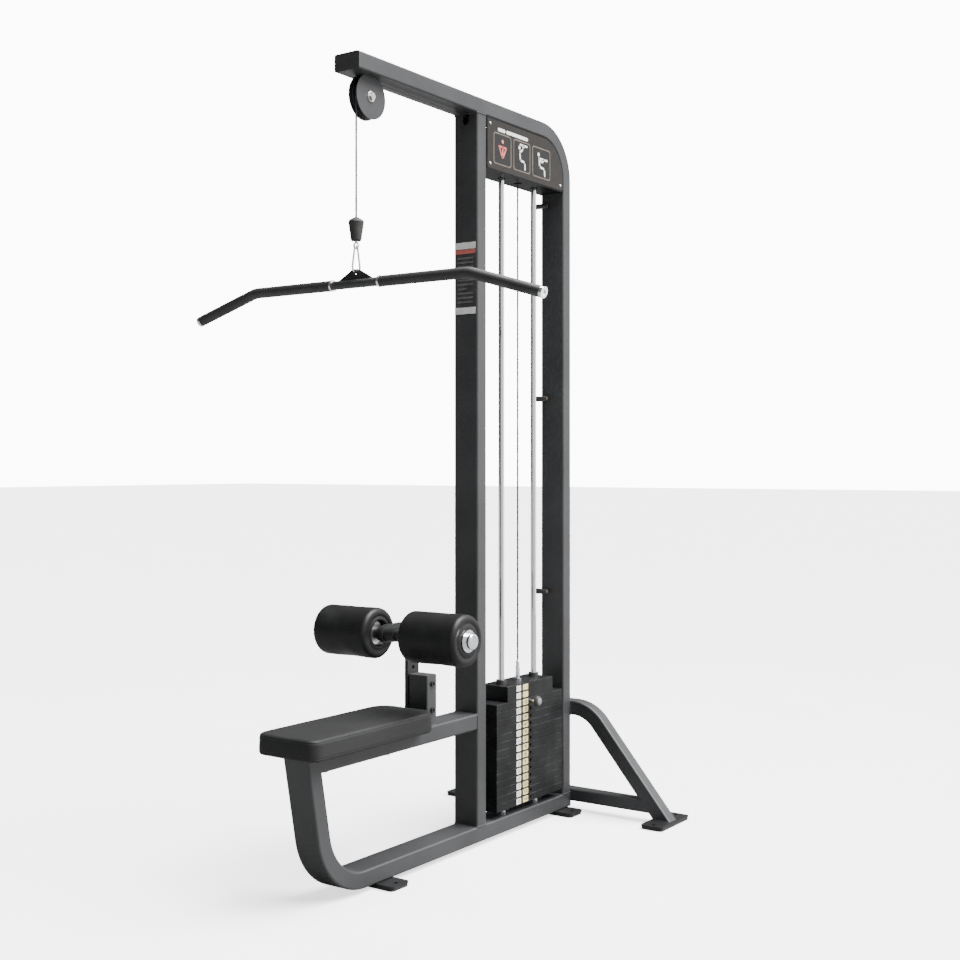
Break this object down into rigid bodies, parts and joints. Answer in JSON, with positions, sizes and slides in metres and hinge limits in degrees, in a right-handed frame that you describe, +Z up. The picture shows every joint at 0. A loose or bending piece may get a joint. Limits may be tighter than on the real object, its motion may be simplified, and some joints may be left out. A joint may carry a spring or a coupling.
{
  "type": "lat pulldown machine",
  "caption": "Free-standing pin-loaded lat pulldown with a leaning seat post, thigh rollers, boxed pulley head, hanging bent bar and an arched rear stabiliser.",
  "frame": {"origin": "on the floor, under the middle of the machine's length and width", "axes": "+Z up; the user sits on the -Y side and faces +Y, towards the weight stack; +X is the user's right hand"},
  "size_m": [1.2582, 1.5214, 2.347],
  "materials": {
    "frame_paint": "satin charcoal powder coat",
    "shroud_sheet": "satin dark sheet",
    "black_plastic": "matte black moulding",
    "pulley_nylon": "turned nylon",
    "bearing_steel": "zinc-plated",
    "foot_rubber": "matte rubber",
    "grip_rubber": "fine-textured rubber",
    "seat_vinyl": "grained black vinyl over foam",
    "roller_foam": "dense closed-cell foam with a skin",
    "core_steel": "light grey flanges",
    "chrome": "bright chrome plate",
    "stack_paint": "black powder coat",
    "cable_jacket": "black coated wire rope"
  },
  "bodies": {
    "frame": {"base_rail": "frame_paint", "front_upright": "frame_paint", "mast_beam": "frame_paint", "seat_tube": "frame_paint", "rear_arch": "frame_paint", "rear_crossbar": "frame_paint", "foot_plate_front": "frame_paint", "foot_plate_tower": "frame_paint", "foot_plate_right": "frame_paint", "foot_plate_left": "frame_paint", "front_pulley_cheeks": "frame_paint", "rear_pulley_cheeks": "frame_paint", "roller_post": "frame_paint", "rod_top_plate": "frame_paint", "shroud_right": "shroud_sheet", "shroud_left": "shroud_sheet", "shroud_floor": "shroud_sheet", "beam_end_cap": "black_plastic", "roller_post_cap": "black_plastic", "guard_clips": "black_plastic", "seat_board": "black_plastic", "pulley_axles": "bearing_steel", "clamp_bolts": "bearing_steel", "seat_bolts": "bearing_steel", "foot_pads": "foot_rubber", "stack_bumpers": "foot_rubber", "seat_cushion": "seat_vinyl", "guide_rod_front": "chrome", "guide_rod_rear": "chrome", "rod_collars": "chrome", "lower_weight_plates": "stack_paint", "cable_run": "cable_jacket"},
    "stack_carriage": {"head_block": "stack_paint", "weight_plate_top": "stack_paint", "selector_rod": "bearing_steel", "guide_bushings": "black_plastic", "cable_clevis": "chrome", "cable_stack_drop": "cable_jacket"},
    "stack_pin": {"selector_pin": "chrome", "selector_knob": "black_plastic"},
    "front_wheel": {"front_pulley": "pulley_nylon", "front_pulley_bearing": "bearing_steel"},
    "rear_wheel": {"rear_pulley": "pulley_nylon", "rear_pulley_bearing": "bearing_steel"},
    "cable_end": {"cable_front_drop": "cable_jacket", "cable_stopper": "foot_rubber"},
    "bar_hanger": {"swivel_eye": "chrome", "pear_link": "chrome"},
    "pull_bar": {"bar_bracket": "bearing_steel", "lat_bar": "frame_paint", "bar_grips": "grip_rubber", "bar_end_caps": "chrome"},
    "roller_holder": {"roller_arm": "frame_paint", "roller_shaft": "chrome", "shaft_collars": "bearing_steel", "shaft_end_caps": "chrome"},
    "roller_right": {"roller_foam_right": "roller_foam", "roller_core_right": "core_steel"},
    "roller_left": {"roller_foam_left": "roller_foam", "roller_core_left": "core_steel"}
  },
  "joints": [
    {"name": "stack_lift", "type": "slide", "parent": "frame", "child": "stack_carriage", "axis": [0, 0, 1], "range_m": [0, 0.65], "deforming": ["cable_stack_drop"]},
    {"name": "bar_drop", "type": "slide", "parent": "frame", "child": "cable_end", "axis": [0, 0, -1], "range_m": [0, 0.65], "deforming": ["cable_front_drop"]},
    {"name": "bar_swivel", "type": "hinge", "parent": "cable_end", "child": "bar_hanger", "pos_m": [0, -0.46275, 1.8], "axis": [0, 0, 1], "range_deg": [-45, 45]},
    {"name": "bar_tilt", "type": "hinge", "parent": "bar_hanger", "child": "pull_bar", "pos_m": [0, -0.46275, 1.735], "axis": [0, 1, 0], "range_deg": [-12, 12]},
    {"name": "pin_pull", "type": "slide", "parent": "stack_carriage", "child": "stack_pin", "axis": [1, 0, 0], "range_m": [0, 0.07]},
    {"name": "front_pulley_spin", "type": "hinge", "parent": "frame", "child": "front_wheel", "pos_m": [0, -0.41475, 2.241], "axis": [1, 0, 0], "range_deg": [0, 776]},
    {"name": "rear_pulley_spin", "type": "hinge", "parent": "frame", "child": "rear_wheel", "pos_m": [0, 0.31825, 2.241], "axis": [1, 0, 0], "range_deg": [0, 776]},
    {"name": "roller_height", "type": "slide", "parent": "frame", "child": "roller_holder", "axis": [0, 0, 1], "range_m": [0, 0.08]},
    {"name": "roller_right_spin", "type": "hinge", "parent": "roller_holder", "child": "roller_right", "pos_m": [0.16, -0.28475, 0.699], "axis": [1, 0, 0], "continuous": true},
    {"name": "roller_left_spin", "type": "hinge", "parent": "roller_holder", "child": "roller_left", "pos_m": [-0.16, -0.28475, 0.699], "axis": [1, 0, 0], "continuous": true}
  ],
  "couplings": [
    {"joint": "bar_drop", "follows": "stack_lift", "ratio": 1},
    {"joint": "front_pulley_spin", "follows": "stack_lift", "rad_per_m": 20.833},
    {"joint": "rear_pulley_spin", "follows": "stack_lift", "rad_per_m": 20.833}
  ]
}
